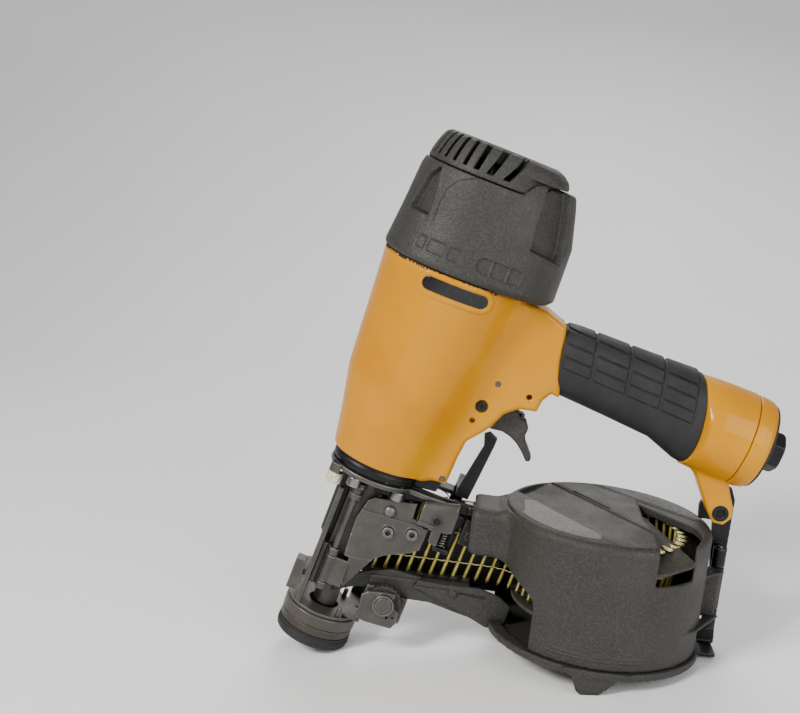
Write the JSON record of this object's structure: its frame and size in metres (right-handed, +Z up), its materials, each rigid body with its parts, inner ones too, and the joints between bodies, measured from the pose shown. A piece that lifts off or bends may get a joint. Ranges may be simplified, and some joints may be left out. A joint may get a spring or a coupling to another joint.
{
  "type": "pneumatic coil siding nailer",
  "caption": "Handheld air-powered nail gun with a round side-hung coil magazine, black grip handle, slotted exhaust cap and spring-loaded contact foot, for driving collated nails.",
  "frame": {"origin": "centre of the bounding box in plan, on the floor that the tool stands on", "axes": "+Z up, +X from the nose towards the air inlet in plan, -Y is the side with the nose door; the driver axis leans 22 degrees from +Z towards +X"},
  "size_m": [0.3038, 0.128, 0.3123],
  "materials": {
    "yellow_casting": "glossy yellow-orange paint on a casting",
    "black_rubber": "moulded rubber, matt",
    "dark_plastic": "dark grey moulded plastic, fine grain",
    "black_steel": "black phosphate steel",
    "grey_steel": "grey phosphate steel casting",
    "bright_steel": "plated steel",
    "aluminium": "turned aluminium",
    "cream_nylon": "cream nylon",
    "seal_rubber": "smooth seal rubber",
    "spring_steel": "spring wire",
    "brass_nail": "yellow-coated ring-shank nails",
    "badge_black": "blank black badge",
    "label_grey": "blank grey label"
  },
  "bodies": {
    "tool": {"main_housing": "yellow_casting", "handle_grip": "black_rubber", "rear_end_cap": "yellow_casting", "end_bumper": "black_rubber", "air_inlet_bushing": "black_steel", "cap_gasket": "seal_rubber", "engine_cap": "dark_plastic", "cap_screws": "black_steel", "deflector_screw": "black_steel", "cylinder_sleeve": "aluminium", "cylinder_seals": "seal_rubber", "piston_bumper": "seal_rubber", "nose_casting": "grey_steel", "nose_screws": "bright_steel", "rod_stops": "cream_nylon", "rod_guides": "grey_steel", "door_hinge_lugs": "grey_steel", "door_hinge_pin": "bright_steel", "latch_post": "black_steel", "latch_spring": "spring_steel", "contact_spring": "spring_steel", "trigger_pin": "black_steel", "trigger_valve_body": "dark_plastic", "valve_spring": "spring_steel", "housing_pins": "black_steel", "magazine_base": "dark_plastic", "magazine_wall": "dark_plastic", "magazine_bracket": "black_steel", "magazine_hinge_pin": "bright_steel", "bracket_bolt": "black_steel", "feed_channel_plate": "black_steel", "feed_cylinder": "grey_steel", "feed_spring": "spring_steel", "feed_block": "black_steel", "nail_strip": "brass_nail", "nail_coil": "brass_nail", "badge_plate": "badge_black"},
    "exhaust_deflector": {"exhaust_deflector": "dark_plastic"},
    "head_valve": {"head_valve": "aluminium"},
    "piston": {"piston": "aluminium", "piston_ring": "seal_rubber", "driver_blade": "bright_steel"},
    "nose_door": {"nose_door": "grey_steel", "door_screws": "bright_steel"},
    "door_latch": {"door_latch": "grey_steel"},
    "contact_arm": {"contact_rods": "grey_steel", "rod_tie": "grey_steel", "contact_linkage": "black_steel", "dial_mount": "grey_steel"},
    "foot": {"contact_foot": "grey_steel", "foot_pad": "black_rubber"},
    "depth_dial": {"depth_dial": "dark_plastic"},
    "trigger": {"trigger": "dark_plastic"},
    "trigger_lever": {"trigger_lever": "black_steel"},
    "valve_stem": {"valve_stem": "bright_steel"},
    "magazine_cover": {"magazine_cover": "dark_plastic", "lid_labels": "label_grey"},
    "nail_platform": {"nail_platform": "dark_plastic"},
    "feeder": {"feed_piston": "bright_steel", "feed_pawl": "grey_steel"}
  },
  "joints": [
    {"name": "deflector_turn", "type": "hinge", "parent": "tool", "child": "exhaust_deflector", "pos_m": [-0.0152, 0, 0.29299], "axis": [0.3746, 0, 0.9272], "continuous": true},
    {"name": "head_valve_slide", "type": "slide", "parent": "tool", "child": "head_valve", "axis": [0.3746, 0, 0.9272], "range_m": [0, 0.006], "stiffness_N_per_m": 1500, "springref_m": -0.004},
    {"name": "piston_stroke", "type": "slide", "parent": "tool", "child": "piston", "axis": [-0.3746, 0, -0.9272], "range_m": [0, 0.076]},
    {"name": "nose_door_swing", "type": "hinge", "parent": "tool", "child": "nose_door", "pos_m": [-0.11741, -0.014, 0.05387], "axis": [-0.3746, 0, -0.9272], "range_deg": [0, 105]},
    {"name": "door_latch_lift", "type": "hinge", "parent": "tool", "child": "door_latch", "pos_m": [-0.05073, -0.018, 0.08625], "axis": [0, 1, 0], "range_deg": [0, 22], "stiffness_Nm_per_rad": 0.12, "springref_deg": -20.05, "deforming": ["latch_spring"]},
    {"name": "contact_arm_press", "type": "slide", "parent": "tool", "child": "contact_arm", "axis": [0.3746, 0, 0.9272], "range_m": [0, 0.0095], "stiffness_N_per_m": 900, "springref_m": -0.012, "deforming": ["contact_spring"]},
    {"name": "foot_adjust", "type": "slide", "parent": "contact_arm", "child": "foot", "axis": [0.3746, 0, 0.9272], "range_m": [-0.005, 0]},
    {"name": "depth_dial_turn", "type": "hinge", "parent": "contact_arm", "child": "depth_dial", "pos_m": [-0.08304, -0.018, 0.03405], "axis": [0, 1, 0], "range_deg": [-300, 0]},
    {"name": "trigger_pull", "type": "hinge", "parent": "tool", "child": "trigger", "pos_m": [-0.02448, 0, 0.15416], "axis": [0, -1, 0], "range_deg": [0, 6], "stiffness_Nm_per_rad": 1.2, "springref_deg": -14.32},
    {"name": "trigger_lever_rock", "type": "hinge", "parent": "trigger", "child": "trigger_lever", "pos_m": [-0.00104, 0, 0.14544], "axis": [0, 1, 0], "range_deg": [0, 6], "stiffness_Nm_per_rad": 0.05, "springref_deg": -5.73},
    {"name": "valve_stem_push", "type": "slide", "parent": "tool", "child": "valve_stem", "axis": [0.3746, 0, 0.9272], "range_m": [0, 0.003], "stiffness_N_per_m": 600, "springref_m": -0.004, "deforming": ["valve_spring"]},
    {"name": "cover_swing", "type": "hinge", "parent": "tool", "child": "magazine_cover", "pos_m": [0.11359, 0, 0.04074], "axis": [0.1219, 0, 0.9925], "range_deg": [0, 100]},
    {"name": "platform_height", "type": "slide", "parent": "tool", "child": "nail_platform", "axis": [-0.1219, 0, -0.9925], "range_m": [0, 0.011]},
    {"name": "feeder_stroke", "type": "slide", "parent": "tool", "child": "feeder", "axis": [0.9925, 0, -0.1219], "range_m": [0, 0.007], "stiffness_N_per_m": 300, "springref_m": -0.006}
  ],
  "couplings": [
    {"joint": "depth_dial_turn", "follows": "foot_adjust", "rad_per_m": 1047.2}
  ]
}
